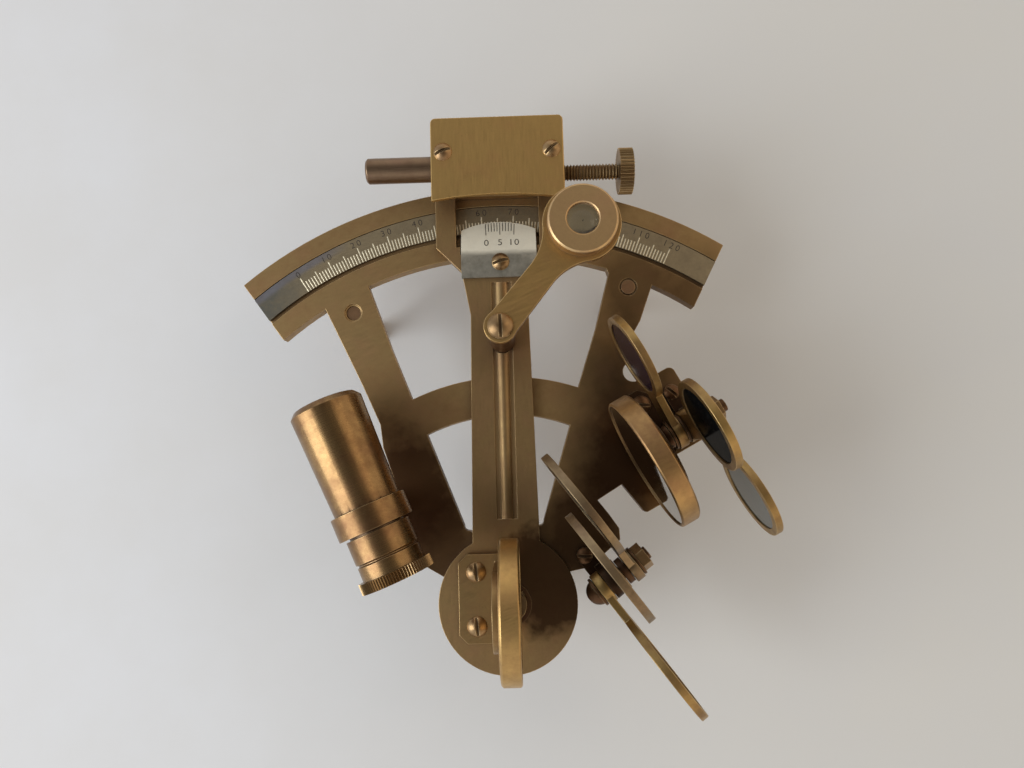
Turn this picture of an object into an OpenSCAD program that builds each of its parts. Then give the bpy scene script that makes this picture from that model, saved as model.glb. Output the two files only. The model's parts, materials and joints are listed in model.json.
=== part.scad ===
// Pocket nautical sextant in brass, standing on three turned feet.
// z = 0 is the table, the index axis is the z axis, +y is the centre line of the frame.

/* [Frame] */
// height of the three feet under the frame plate
leg_h = 22; // [18:0.5:28]
// thickness of the frame plate
frame_t = 3; // [2.4:0.1:4]
// outer radius of the limb
limb_r_out = 82.5; // [80:0.1:85]
// inner radius of the limb
limb_r_in = 68.5; // [66:0.1:70]
// half angle of the limb at its outer corners
limb_half = 36.4; // [34:0.1:38]
// outer radius of the engraved scale strip
scale_r_out = 78.8; // [78:0.1:80]
// inner radius of the engraved scale strip
scale_r_in = 73.4; // [72:0.1:75]
// outer radius of the cross bar
bar_r_out = 43.8; // [42:0.1:46]
// inner radius of the cross bar
bar_r_in = 36.2; // [34:0.1:38]
// left foot, to the left of the pivot
leg_left_x = -27.1; // [-30:0.1:-25]
// left foot, from the pivot towards the limb
leg_left_y = 59; // [56:0.1:62]
// right foot, to the right of the pivot
leg_right_x = 28.4; // [25:0.1:30]
// right foot, from the pivot towards the limb
leg_right_y = 59.9; // [56:0.1:62]

/* [Index arm] */
// angle of the index arm to the right of the centre line
arm_rest = 2.8; // [-20:0.1:20]
// thickness of the index arm
arm_t = 1.85; // [1.5:0.05:2.5]
// radius of the disc at the foot of the index arm
hub_r = 13; // [12:0.1:14]
// width of the head that carries the vernier
head_w = 25.6; // [24:0.1:28]
// width of the vernier plate
vernier_w = 15; // [12:0.1:16]
// width of the cover plate
cover_w = 26; // [24:0.1:28]
// pitch of the tangent screw thread
tangent_pitch = 0.635; // [0.5:0.005:0.8]
// outside diameter of the tangent screw thread
tangent_d = 3.2; // [2.5:0.1:4]
// diameter of the tangent screw knob
knob_d = 9; // [7:0.1:11]
// outside diameter of the spring barrel
barrel_d = 5; // [4:0.1:6]

/* [Magnifier] */
// distance from the magnifier pivot to its lens
mag_len = 23.7; // [20:0.1:28]
// angle of the magnifier arm to the right of the index arm
mag_rest = 39.5; // [20:0.5:50]
// height of the magnifier arm above the frame plate
mag_z = 16.6; // [14:0.1:20]

/* [Mirrors] */
// outside radius of a mirror bezel
bezel_r = 12.4; // [11:0.1:14]
// depth of a mirror bezel
bezel_t = 3.6; // [3:0.1:5]
// height of the mirror centres above the frame plate
mirror_z = 15.6; // [15:0.1:18]
// place of the horizon mirror to the right of the index axis
horizon_x = 25.8; // [22:0.1:30]
// place of the horizon mirror towards the limb
horizon_y = 24.4; // [20:0.1:30]
// direction of the horizon mirror plane
horizon_dir = -64.7; // [-70:0.1:-58]

/* [Shades] */
// outside radius of an index shade
ishade_r = 10.8; // [9:0.1:12]
// pivot to ring centre of an index shade
ishade_len = 17.5; // [15:0.1:20]
// outside radius of a horizon shade
hshade_r = 8.6; // [8:0.1:10]
// pivot to ring centre of a horizon shade
hshade_len = 16.5; // [14:0.1:19]
// thickness of a shade's eye on its pin
shade_t = 1.8; // [1.4:0.1:2.4]
// thickness of a shade's ring and arm
shade_ring_t = 1.4; // [1.2:0.1:1.8]
// height of both shade pins above the frame plate
pin_z = 6; // [5:0.1:8]
// lift of index shade 1 (outer) above level
ishade_ang_1 = 6; // [-5:1:152]
// lift of index shade 2 (middle)
ishade_ang_2 = 107; // [-5:1:152]
// lift of index shade 3 (inner)
ishade_ang_3 = 150; // [-5:1:152]
// lift of horizon shade 1 (nearest the mirror)
hshade_ang_1 = 168; // [-5:1:168]
// lift of horizon shade 2 (middle)
hshade_ang_2 = 88; // [-5:1:168]
// lift of horizon shade 3 (farthest from the mirror)
hshade_ang_3 = 6; // [-5:1:168]

/* [Telescope] */
// place of the telescope post to the right of the index axis
tele_x = -22.6; // [-26:0.1:-20]
// place of the telescope post towards the limb
tele_y = 19.2; // [16:0.1:24]
// direction of the objective, from +x
tele_dir = 109.7; // [0:0.1:120]
// height of the telescope axis above the frame plate
tele_z = 15.4; // [14:0.1:18]
// outside radius of the tube at the objective
tube_r_obj = 6.6; // [6:0.1:7.5]
// outside radius of the tube at the collar
tube_r_eye = 6; // [5.5:0.1:7]
// length of the tube in front of the collar
tube_len = 19.8; // [16:0.1:24]

/* [Hidden] */
frame_z = leg_h + frame_t;
arm_z = frame_z + 0.15;
arm_top = arm_z + arm_t;
journal_r = 3;
run_gap = 0.04;
scale_depth = 0.8;
house_top = frame_z + 6.4;
cover_t = 1.2;
head_end = 94;
cover_end = 94.3;
mech_z = frame_z + 4.2;
barrel_y = 85.2;
screw_y = 83.6;
lug_w = 6;
pin_r = 1.25;
lug_r = 3.2;
post_y = 50.8;
ishade_dir = -55.7;
ishade_pin_d = 8;
hshade_pin_s = -1.6;
tube_axis_back = 2.1;
glass_r = bezel_r - 0.6;
brass = [0.62, 0.48, 0.26];
dark_brass = [0.45, 0.34, 0.2];
steel = [0.6, 0.6, 0.58];
silvered = [0.75, 0.73, 0.66];
mirror_col = [0.8, 0.85, 0.88];
lens_col = [0.75, 0.85, 0.85, 0.6];
shade_dark = [0.12, 0.1, 0.14];
shade_grey = [0.5, 0.5, 0.5];

function polar(r, a) = [r * sin(a), r * cos(a)];

// a ring lying flat between two heights
module ring(r_out, r_in, z0, z1) {
    difference() {
        translate([0, 0, z0])
            cylinder(r = r_out, h = z1 - z0, $fn = 96);
        translate([0, 0, z0 - 1])
            cylinder(r = r_in, h = z1 - z0 + 2, $fn = 96);
    }
}

// a disc standing on height z0
module disc(r, z0, h) {
    translate([0, 0, z0])
        cylinder(r = r, h = h, $fn = 64);
}

// a flat sector about the index axis, from angle a0 to a1 measured from +y to the right
module sector(r_in, r_out, a0, a1, z0, z1) {
    translate([0, 0, z0])
        rotate([0, 0, 90 - a1])
            rotate_extrude(angle = a1 - a0, $fn = 180)
                translate([r_in, 0])
                    square([r_out - r_in, z1 - z0]);
}

// a domed screw head with a slot, and its shank below, seat at z = 0
module domed_screw(head_r, head_h, shank_r, shank_len, slot_ang, slot_w = 0.55) {
    dome_r = (head_r * head_r + head_h * head_h) / (2 * head_h);
    difference() {
        union() {
            intersection() {
                translate([0, 0, head_h - dome_r])
                    sphere(r = dome_r, $fn = 64);
                cylinder(r = head_r + 1, h = head_h + 1, $fn = 48);
            }
            translate([0, 0, -shank_len])
                cylinder(r = shank_r, h = shank_len + 0.05, $fn = 32);
        }
        rotate([0, 0, slot_ang])
            translate([-head_r - 1, -slot_w / 2, head_h * 0.25])
                cube([2 * head_r + 2, slot_w, head_h]);
    }
}

// a flat cheese head with a slot, and its shank below, seat at z = 0
module cheese_screw(head_r, head_h, shank_r, shank_len, slot_ang, slot_w = 0.55) {
    difference() {
        union() {
            cylinder(r1 = head_r, r2 = head_r - 0.25, h = head_h, $fn = 48);
            translate([0, 0, -shank_len])
                cylinder(r = shank_r, h = shank_len + 0.05, $fn = 32);
        }
        rotate([0, 0, slot_ang])
            translate([-head_r - 1, -slot_w / 2, head_h * 0.5])
                cube([2 * head_r + 2, slot_w, head_h]);
    }
}

// a knurled disc: straight teeth round the rim
module knurled(r, h, teeth) {
    linear_extrude(height = h)
        polygon([for (i = [0 : 2 * teeth - 1]) let (a = 180 * i / teeth, q = i % 2 == 0 ? r : r - 0.32)
            [q * cos(a), q * sin(a)]]);
}

// everything that rides on the index arm
module on_arm() {
    rotate([0, 0, -arm_rest])
        children();
}

// a standing plane: local x runs along dir, local y is up, local +z is the front
module standing(x, y, z, dir) {
    translate([x, y, z])
        rotate([90, 0, dir])
            children();
}

module index_plane() {
    on_arm()
        standing(2.2, 1.2, frame_z + mirror_z, 90)
            children();
}

module horizon_plane() {
    standing(horizon_x, horizon_y, frame_z + mirror_z, horizon_dir)
        children();
}

module ishade_plane() {
    standing(ishade_pin_d * cos(ishade_dir), ishade_pin_d * sin(ishade_dir), frame_z + pin_z, ishade_dir)
        children();
}

module hshade_plane() {
    standing(horizon_x + hshade_pin_s * cos(horizon_dir), horizon_y + hshade_pin_s * sin(horizon_dir),
        frame_z + pin_z, horizon_dir)
        children();
}

// ---- frame ----

// plan of the body between the hub and the limb
module frame_plan() {
    difference() {
        union() {
            circle(r = hub_r, $fn = 128);
            polygon([[0, 0], polar(hub_r, -66), [-16.1, 8.1], [-22.7, 31.5], [-23.0, 36.1], [-26.1, 44.3],
                polar(limb_r_in + 1, -28.4), polar(limb_r_in + 1, -14), polar(limb_r_in + 1, 0),
                polar(limb_r_in + 1, 14), polar(limb_r_in + 1, 28.9), [30.2, 52.9], [28.2, 49.9],
                [29.4, 43.6], [22.2, 22.0], [18.6, 18.1], [20.6, 15.2], [22.3, 12.4], [22.3, 10.2],
                [15.8, 5.4], polar(hub_r, 68)]);
            translate([tele_x, tele_y])
                circle(r = 5.2, $fn = 64);
            translate([27.8, 42.8])
                circle(r = 3.3, $fn = 64);
            horizon_pad_plan();
            polygon([[22.4, 27.4], [26, 25.4], [26, 22.8], [21.4, 21]]);
        }
        upper_opening_plan();
        lower_opening_plan();
        translate([6, 15])
            rotate([0, 0, -1.8])
                translate([-6, -15])
                    mirror([1, 0])
                        lower_opening_plan();
    }
}

// pad and tab under the horizon mirror and its shades
module horizon_pad_plan() {
    translate([horizon_x, horizon_y])
        rotate([0, 0, horizon_dir]) {
            translate([-13.1, -1])
                square([15.7, 16.6]);
            translate([-11.8, 14])
                square([14.4, 2.9]);
            translate([-11.8, 15.6])
                circle(r = 1.3, $fn = 32);
            polygon([[1, -9.2], [2.6, -9.2], [2.3, -3.5], [9, -2.4], [9.4, -1.9], [9.4, 3.4], [1, 3.4]]);
        }
}

// one opening between the cross bar and the limb
module upper_opening_plan() {
    intersection() {
        difference() {
            circle(r = limb_r_in + 0.3, $fn = 180);
            circle(r = bar_r_out, $fn = 180);
        }
        polygon([[0, 20], polar(bar_r_out - 4, -22.2), polar(bar_r_out, -22), polar(54.5, -21.3),
            polar(68.8, -20.3), polar(76, -10), polar(76, 10), polar(69.2, 20.4), polar(67.6, 21.45),
            polar(56, 22.15), polar(bar_r_out, 22.4), polar(bar_r_out - 4, 22.5)]);
    }
}

// the left opening between the hub and the cross bar
module lower_opening_plan() {
    intersection() {
        circle(r = bar_r_in, $fn = 180);
        union() {
            polygon([[-13.9, 33.5], [-12.9, 36], [-2.2, 37], [-2.2, 15], [-6.0, 13.6], [-7.6, 14.6]]);
            translate([-6.9, 15])
                circle(r = 0.9, $fn = 32);
        }
    }
}

module frame() {
    color(brass)
        difference() {
            union() {
                translate([0, 0, leg_h])
                    linear_extrude(height = frame_t)
                        frame_plan();
                difference() {
                    sector(limb_r_in, limb_r_out, -limb_half - 1.6, limb_half + 1.6, leg_h, frame_z);
                    limb_ends();
                }
            }
            sector(scale_r_in - 0.8, scale_r_out, -limb_half - 3, limb_half + 3,
                frame_z - scale_depth, frame_z + 1);
            disc(journal_r, leg_h - 1, frame_t + 2);
            for (p = [[leg_left_x, leg_left_y], [leg_right_x, leg_right_y]])
                translate([p[0], p[1], 0]) {
                    disc(1.45, leg_h - 1, frame_t + 2);
                    disc(1.75, frame_z - 0.35, 1);
                }
            translate([tele_x, tele_y, 0])
                disc(1.8 + run_gap, leg_h - 1, frame_t + 2);
            horizon_plane()
                foot_holes([[-9.2, -7.4], [-0.4, -7.4]], mirror_z, 0.85);
            ishade_plane()
                foot_holes([[-6, -16.8]], pin_z, 0.85);
            hshade_plane()
                foot_holes([[-6.9, -13.9]], pin_z, 0.85);
            translate([27.8, 42.8, 0])
                disc(2, leg_h - 1, frame_t + 2);
        }
}

// slanted cut at the left end of the limb, through the given angles of its outer and inner edge
module limb_end(outer, inner) {
    p = polar(limb_r_out, -outer);
    q = polar(limb_r_in, -inner);
    d = (q - p) / norm(q - p);
    n = [d[1], -d[0]];
    translate([0, 0, leg_h - 1])
        linear_extrude(height = frame_t + 2)
            polygon([p - 8 * d, q + 8 * d, q + 8 * d + 12 * n, p - 8 * d + 12 * n]);
}

// both ends of the limb
module limb_ends() {
    limb_end(limb_half, limb_half + 0.8);
    mirror([1, 0, 0])
        limb_end(limb_half - 0.6, limb_half + 0.5);
}

// vertical holes given in a standing plane as [along, behind], depth measured from height h above the frame
module foot_holes(places, h, r) {
    for (p = places)
        translate([p[0], -h, p[1]])
            rotate([-90, 0, 0])
                translate([0, 0, -frame_t - 1])
                    cylinder(r = r, h = frame_t + 2, $fn = 32);
}

module arc_scale() {
    color(silvered)
        difference() {
            sector(scale_r_in, scale_r_out - 0.15, -limb_half - 1.6, limb_half + 1.6,
                frame_z - scale_depth, frame_z);
            limb_ends();
        }
}

// a turned foot: widened at the table, waisted, with a shoulder under the frame
module turned_foot(r_foot, r_waist, r_top) {
    rotate_extrude($fn = 64)
        polygon([[0, 0], [r_foot - 0.4, 0], [r_foot, 0.4], [r_foot, 2], [r_foot - 0.6, 2.6], [r_waist, 4.4],
            [r_waist, leg_h - 5], [r_waist + 0.7, leg_h - 4.2], [r_waist, leg_h - 3.4],
            [r_top, leg_h - 2], [r_top, leg_h], [0, leg_h]]);
}

module limb_feet() {
    color(brass)
        for (p = [[leg_left_x, leg_left_y, 0.6], [leg_right_x, leg_right_y, 0.05]])
            translate([p[0], p[1], 0]) {
                turned_foot(2.1, 1.5, 2.4);
                disc(1.45, leg_h - 0.05, frame_t + 0.05 - p[2]);
            }
}

module pivot_foot() {
    color(brass)
        difference() {
            union() {
                turned_foot(5, 3.2, 5);
                disc(journal_r, leg_h - 0.05, arm_top + 0.1 - leg_h + 0.05);
            }
            disc(1.5, arm_top - 7, 9);
        }
}

module pivot_washer() {
    color(dark_brass)
        ring(4.2, 1.55, arm_top + 0.1, arm_top + 0.35);
}

module pivot_screw() {
    color(dark_brass)
        translate([0, 0, arm_top + 0.35])
            cheese_screw(3.5, 0.6, 1.5, 6, 35, 0.7);
}

// ---- index arm ----

module arm_plan() {
    difference() {
        union() {
            translate([-0.3, 0])
                circle(r = hub_r + 0.3, $fn = 128);
            polygon([[-7.0, 0], [-6.2, 56], [-7.4, 62.6], [-8.0, 65], [-head_w / 2, 69.8],
                [-head_w / 2, head_end], [head_w / 2, head_end], [head_w / 2, 69.8], [8.0, 65],
                [7.3, 62.6], [5.3, 56], [6.35, 0]]);
        }
        circle(r = journal_r + run_gap, $fn = 64);
        translate([-8.8, 69.9])
            square([16.7, 10.3]);
        translate([-8, 68.3])
            square([15.4, 2]);
        translate([-lug_w / 2 - 2.4, 81.9])
            square([lug_w + 4.8, 6.9]);
    }
}

// a low rounded rib along the arm's top face, from y0 to y1
module bead(width, height, y0, y1) {
    bead_r = (width * width / 4 + height * height) / (2 * height);
    intersection() {
        translate([-width / 2, y0, arm_top - 0.1])
            cube([width, y1 - y0, height + 0.2]);
        translate([0, y0 - 1, arm_top + height - bead_r])
            rotate([-90, 0, 0])
                cylinder(r = bead_r, h = y1 - y0 + 2, $fn = 96);
    }
}

module index_arm() {
    color(brass)
        on_arm()
            difference() {
                union() {
                    translate([0, 0, arm_z])
                        linear_extrude(height = arm_t)
                            arm_plan();
                    bead(2.3, 0.5, 16, 62.5);
                }
                for (s = [-1, 1])
                    translate([s * 1.55 - 0.4, 16, arm_top - 0.35])
                        cube([0.8, 46.5, 2]);
                translate([0, post_y, 0])
                    disc(2.6, arm_top, 3);
                translate([0, post_y, 0])
                    disc(1.2, arm_z - 1, 5);
                translate([0, 66.5, 0])
                    disc(0.8, arm_z - 1, 5);
                for (y = [-3.8, 6.3])
                    translate([-6.2, y, 0])
                        disc(0.85, arm_z - 1, 5);
                for (s = [-1, 1])
                    translate([s * 10.6, 87.4, 0])
                        disc(0.8, arm_z - 1, 5);
            }
}

// bevelled plate whose front edge lies on the scale
module vernier_plate() {
    t0 = arm_top - frame_z;
    color(silvered)
        on_arm()
            difference() {
                intersection() {
                    translate([-vernier_w / 2 - 0.3, 0, frame_z])
                        rotate([90, 0, 90])
                            linear_extrude(height = vernier_w)
                                polygon([[63.4, t0], [68.3, t0], [75.1, 0.1], [76, 0.1], [76, 0.3],
                                    [75.5, 0.35], [68.6, t0 + 0.7], [63.4, t0 + 0.7]]);
                    translate([-0.3, 58.6, 0])
                        disc(16.7, frame_z - 1, 6);
                }
                translate([0, 66.5, 0])
                    disc(0.8, arm_z, 5);
            }
}

module vernier_screw() {
    color(dark_brass)
        on_arm()
            translate([0, 66.5, arm_top + 0.7])
                domed_screw(1.8, 0.9, 0.8, 2.2, 15);
}

// walls under the cover plate, one holding the barrel and one threaded for the screw
module tangent_housing() {
    color(dark_brass)
        on_arm()
            difference() {
                translate([-head_w / 2, 80.4, arm_top])
                    cube([head_w, head_end - 80.4, house_top - arm_top]);
                translate([-8.6, 81.8, arm_top - 1])
                    cube([17.2, 10.4, 10]);
                translate([-head_w / 2 - 1, barrel_y, mech_z])
                    rotate([0, 90, 0])
                        cylinder(r = 1 + run_gap, h = 8, $fn = 32);
                translate([8, screw_y, mech_z])
                    rotate([0, 90, 0])
                        cylinder(r = tangent_d / 2 + run_gap, h = 8, $fn = 48);
                for (s = [-1, 1])
                    translate([s * 10.6, 87.4, 0])
                        disc(0.8, arm_z, 9);
            }
}

module cover_plate() {
    color(brass)
        on_arm()
            difference() {
                translate([0, 0, house_top])
                    linear_extrude(height = cover_t)
                        difference() {
                            union() {
                                translate([-cover_w / 2, 70])
                                    square([cover_w, cover_end - 71]);
                                translate([-cover_w / 2 + 1, 70])
                                    square([cover_w - 2, cover_end - 70]);
                                for (s = [-1, 1])
                                    translate([s * (cover_w / 2 - 1), cover_end - 1])
                                        circle(r = 1, $fn = 32);
                            }
                            circle(r = 78.7, $fn = 180);
                        }
                for (s = [-1, 1])
                    translate([s * 10.6, 87.4, 0])
                        disc(0.8, house_top - 1, 5);
            }
}

module cover_screws() {
    color(dark_brass)
        on_arm()
            for (s = [-1, 1])
                translate([s * 10.6, 87.4, house_top + cover_t])
                    domed_screw(1.85, 0.9, 0.8, 6.6, s < 0 ? 20 : 40);
}

module spring_barrel() {
    color(dark_brass)
        on_arm()
            translate([-head_w / 2, barrel_y, mech_z])
                rotate([0, -90, 0])
                    rotate_extrude($fn = 64)
                        polygon([[2, 0], [2.15, 0], [2.15, 0.25], [barrel_d / 2, 0.25], [barrel_d / 2, 12.9],
                            [barrel_d / 2 - 0.4, 13.3], [0, 13.3], [0, 12.1], [2, 12.1]]);
}

// a coil of round wire standing on z = 0
module coil(coil_r, wire_r, len, turns) {
    steps = 18 * turns;
    sides = 8;
    rise = (len - 2 * wire_r) / steps;
    rings = [for (i = [0 : steps], j = [0 : sides - 1])
        let (a = 360 * turns * i / steps, b = 360 * j / sides, q = coil_r + wire_r * cos(b))
            [q * cos(a), q * sin(a), wire_r + rise * i + wire_r * sin(b)]];
    walls = [for (i = [0 : steps - 1], j = [0 : sides - 1]) let (k = (j + 1) % sides)
        [i * sides + j, (i + 1) * sides + j, (i + 1) * sides + k, i * sides + k]];
    ends = [[for (j = [0 : sides - 1]) j], [for (j = [sides - 1 : -1 : 0]) steps * sides + j]];
    polyhedron(rings, concat(walls, ends));
}

// compressed spring in the barrel
module tangent_spring() {
    color(steel)
        on_arm()
            translate([-head_w / 2 - 3.75, barrel_y, mech_z])
                rotate([0, -90, 0])
                    coil(1.55, 0.25, 8.2, 6.5);
}

module spring_plunger() {
    color(steel)
        on_arm()
            translate([-lug_w / 2 - run_gap, barrel_y, mech_z])
                rotate([0, -90, 0]) {
                    cylinder(r = 1, h = 12.4, $fn = 32);
                    translate([0, 0, 12.3])
                        cylinder(r = 1.95, h = 1.2, $fn = 48);
                }
}

module tangent_pad() {
    color(dark_brass)
        on_arm()
            translate([lug_w / 2 + run_gap, screw_y, mech_z])
                rotate([0, 90, 0]) {
                    cylinder(r = 1.3, h = 1.2, $fn = 32);
                    translate([0, 0, 1.1])
                        cylinder(r = 0.7, h = 1.6, $fn = 24);
                }
}

// threaded rod with its knurled knob
module tangent_screw() {
    x0 = lug_w / 2 + 1.32;
    r = tangent_d / 2;
    n = 30;
    core = r - 0.34;
    color(dark_brass)
        on_arm()
            translate([x0, screw_y, mech_z])
                rotate([0, 90, 0])
                    difference() {
                        union() {
                            rotate_extrude($fn = 48)
                                polygon(concat([[0, 0], [core, 0]],
                                    [for (i = [0 : n - 1]) each [[core, 0.3 + i * tangent_pitch],
                                        [r, 0.3 + (i + 0.5) * tangent_pitch]]],
                                    [[core, 0.3 + n * tangent_pitch], [core, 19.6], [0, 19.6]]));
                            translate([0, 0, 19.5])
                                knurled(knob_d / 2, 2.7, 40);
                        }
                        translate([0, 0, -1])
                            cylinder(r = 0.74, h = 2.6, $fn = 24);
                        translate([0, 0, 21.9])
                            cylinder(r = 2.6, h = 1, $fn = 48);
                    }
}

// grips the outer edge of the limb; its lug stands between screw and plunger
module clamp_shoe() {
    color(dark_brass)
        on_arm()
            difference() {
                union() {
                    sector(limb_r_out + 0.1, 88.2, -5, 5, frame_z - 5, frame_z + 0.05);
                    sector(77, 88.2, -5, 5, frame_z - 5.2, frame_z - frame_t - 0.1);
                    translate([-lug_w / 2, 82.75, frame_z - 1])
                        cube([lug_w, 5.2, 7.1]);
                }
                translate([0, 79.8, 0])
                    disc(1.5 + run_gap, frame_z - 7, 6);
            }
}

module clamp_screw() {
    color(dark_brass)
        on_arm()
            translate([0, 79.8, 0]) {
                disc(1.5, frame_z - 7, 7 - frame_t - 0.04);
                translate([0, 0, frame_z - 11])
                    knurled(4, 3.2, 36);
                disc(2.4, frame_z - 7.9, 1.6);
            }
}

// ---- magnifier ----

module magnifier_post() {
    color(dark_brass)
        on_arm()
            translate([0, post_y, 0])
                difference() {
                    union() {
                        disc(2.5, arm_top, frame_z + mag_z - 0.05 - arm_top);
                        disc(1.2, arm_z, arm_t + 0.1);
                        disc(1.5, frame_z + mag_z - 0.1, 1.85);
                    }
                    disc(0.8, frame_z + mag_z - 5, 8);
                }
}

module magnifier_place() {
    on_arm()
        translate([0, post_y, frame_z + mag_z])
            rotate([0, 0, 90 - mag_rest])
                children();
}

module magnifier_arm() {
    color(brass)
        magnifier_place()
            difference() {
                linear_extrude(height = 1.5)
                    union() {
                        circle(r = 3, $fn = 64);
                        translate([mag_len, 0])
                            circle(r = 7.1, $fn = 96);
                        difference() {
                            polygon([[0, -2.85], [12, -2.6], [12, -5.4], [mag_len - 5, -5.4], [mag_len, 0],
                                [mag_len - 5, 5.4], [12, 5.4], [12, 2.6], [0, 2.85]]);
                            for (s = [-1, 1])
                                translate([12, s * 13.1])
                                    circle(r = 10.5, $fn = 96);
                        }
                    }
                disc(1.5 + run_gap, -1, 4);
                translate([mag_len, 0, 0])
                    disc(4.6, -1, 4);
            }
}

module magnifier_bezel() {
    color(brass)
        magnifier_place()
            translate([mag_len, 0, 0])
                rotate_extrude($fn = 96)
                    polygon([[3.6, -0.6], [5.2, -0.6], [5.2, -0.01], [4.58, -0.01], [4.58, 1.51], [6.3, 1.51],
                        [6.3, 3.95], [5.95, 4.3], [3.05, 4.3], [2.8, 4.05], [2.8, 3.1], [4.1, 3.1],
                        [4.1, 1.1], [3.6, 1.1]]);
}

module magnifier_lens() {
    color(lens_col)
        magnifier_place()
            translate([mag_len, 0, 0])
                intersection() {
                    disc(4.08, 1.12, 1.96);
                    translate([0, 0, 3.05 - 9])
                        sphere(r = 9, $fn = 96);
                }
}

module magnifier_screw() {
    color(dark_brass)
        on_arm()
            translate([0, post_y, frame_z + mag_z + 1.75])
                domed_screw(2.35, 1.1, 0.8, 4.5, 92, 0.6);
}

// ---- mirrors ----

// shallow cup, its front rim at z = 0
module mirror_bezel() {
    color(brass)
        rotate_extrude($fn = 128)
            polygon([[0, -bezel_t], [bezel_r - 0.4, -bezel_t], [bezel_r, -bezel_t + 0.4], [bezel_r, -0.3],
                [bezel_r - 0.3, 0], [glass_r, 0], [glass_r, -1.9], [0, -1.9]]);
}

module mirror_glass() {
    color(mirror_col)
        translate([0, 0, -1.88])
            cylinder(r = glass_r - 0.02, h = 1.6, $fn = 128);
}

// foot and upright cut from one angle piece; foot from s0 to s1 along, reach behind the bezel
module mirror_bracket(s0, s1, reach, rise, foot_t, places) {
    color(dark_brass)
        difference() {
            union() {
                translate([0, 0, -bezel_t - 1.2])
                    linear_extrude(height = 1.2)
                        union() {
                            circle(r = 7, $fn = 64);
                            translate([max(s0, -7), -rise])
                                square([min(s1, 7) - max(s0, -7), rise]);
                        }
                translate([0, -rise, 0])
                    rotate([-90, 0, 0])
                        linear_extrude(height = foot_t)
                            polygon([[s0, bezel_t], [s1, bezel_t], [s1, bezel_t + reach - 1.6],
                                [s1 - 1.6, bezel_t + reach], [s0 + 1.6, bezel_t + reach],
                                [s0, bezel_t + reach - 1.6]]);
            }
            for (p = places)
                translate([p[0], -rise - 1, p[1]])
                    rotate([-90, 0, 0])
                        cylinder(r = 0.85, h = foot_t + 2, $fn = 32);
        }
}

module mirror_screws(rise, foot_t, places, ang) {
    color(dark_brass)
        for (p = places)
            translate([p[0], -rise + foot_t, p[1]])
                rotate([-90, 0, 0])
                    domed_screw(1.95, 1.0, 0.85, foot_t + 1.5, ang);
}

// its foot is hollowed underneath to clear the pivot screw
module index_mirror_bracket() {
    color(dark_brass)
        difference() {
            index_plane()
                mirror_bracket(-8.2, 8.4, 8.2, mirror_z - (arm_top - frame_z), 1.3,
                    [[-5, -8.4], [5.1, -8.4]]);
            disc(4.5, arm_top - 0.1, 1.15);
        }
}

module index_mirror_bezel() {
    index_plane()
        mirror_bezel();
}

module index_mirror_glass() {
    index_plane()
        mirror_glass();
}

module index_mirror_screws() {
    index_plane()
        mirror_screws(mirror_z - (arm_top - frame_z), 1.3, [[-5, -8.4], [5.1, -8.4]], 5);
}

module horizon_mirror_bracket() {
    horizon_plane()
        mirror_bracket(-12.2, 2.5, 6.2, mirror_z, 1.3, [[-9.2, -7.4], [-0.4, -7.4]]);
}

module horizon_mirror_bezel() {
    horizon_plane()
        mirror_bezel();
}

module horizon_mirror_glass() {
    horizon_plane()
        mirror_glass();
}

module horizon_mirror_screws() {
    horizon_plane()
        mirror_screws(mirror_z, 1.3, [[-9.2, -7.4], [-0.4, -7.4]], 60);
}

// ---- shades ----

// flat shade frame with its front face at z0, before it is lifted by ang
module shade_frame(z0, ang, r, len) {
    color(brass)
        rotate([0, 0, ang])
            translate([0, 0, z0 - shade_t])
                difference() {
                    union() {
                        cylinder(r = lug_r, h = shade_t, $fn = 64);
                        translate([0, -2.6, shade_t - shade_ring_t])
                            cube([len - r + 2, 5.2, shade_ring_t]);
                        translate([len, 0, shade_t - shade_ring_t])
                            cylinder(r = r, h = shade_ring_t, $fn = 128);
                    }
                    translate([0, 0, -1])
                        cylinder(r = pin_r + run_gap, h = shade_t + 2, $fn = 48);
                    translate([len, 0, -1])
                        cylinder(r = r - 1.4, h = shade_t + 2, $fn = 128);
                }
}

module shade_glass(z0, ang, r, len, col) {
    color(col)
        rotate([0, 0, ang])
            translate([len, 0, z0 - shade_ring_t / 2 - 0.45])
                cylinder(r = r - 1.42, h = 0.9, $fn = 128);
}

// round headed pin through a bracket, head at the front
module shade_pin(z_head) {
    translate([0, 0, z_head])
        domed_screw(2.4, 1.9, pin_r, 12.1, 30, 0.6);
}

module shade_washer(z0) {
    translate([0, 0, z0])
        difference() {
            cylinder(r = 2.9, h = 0.5, $fn = 48);
            translate([0, 0, -1])
                cylinder(r = pin_r, h = 3, $fn = 48);
        }
}

module shade_nut(z0) {
    translate([0, 0, z0])
        difference() {
            cylinder(r = 2.6, h = 1.8, $fn = 6);
            translate([0, 0, -1])
                cylinder(r = pin_r, h = 4, $fn = 48);
        }
}

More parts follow.
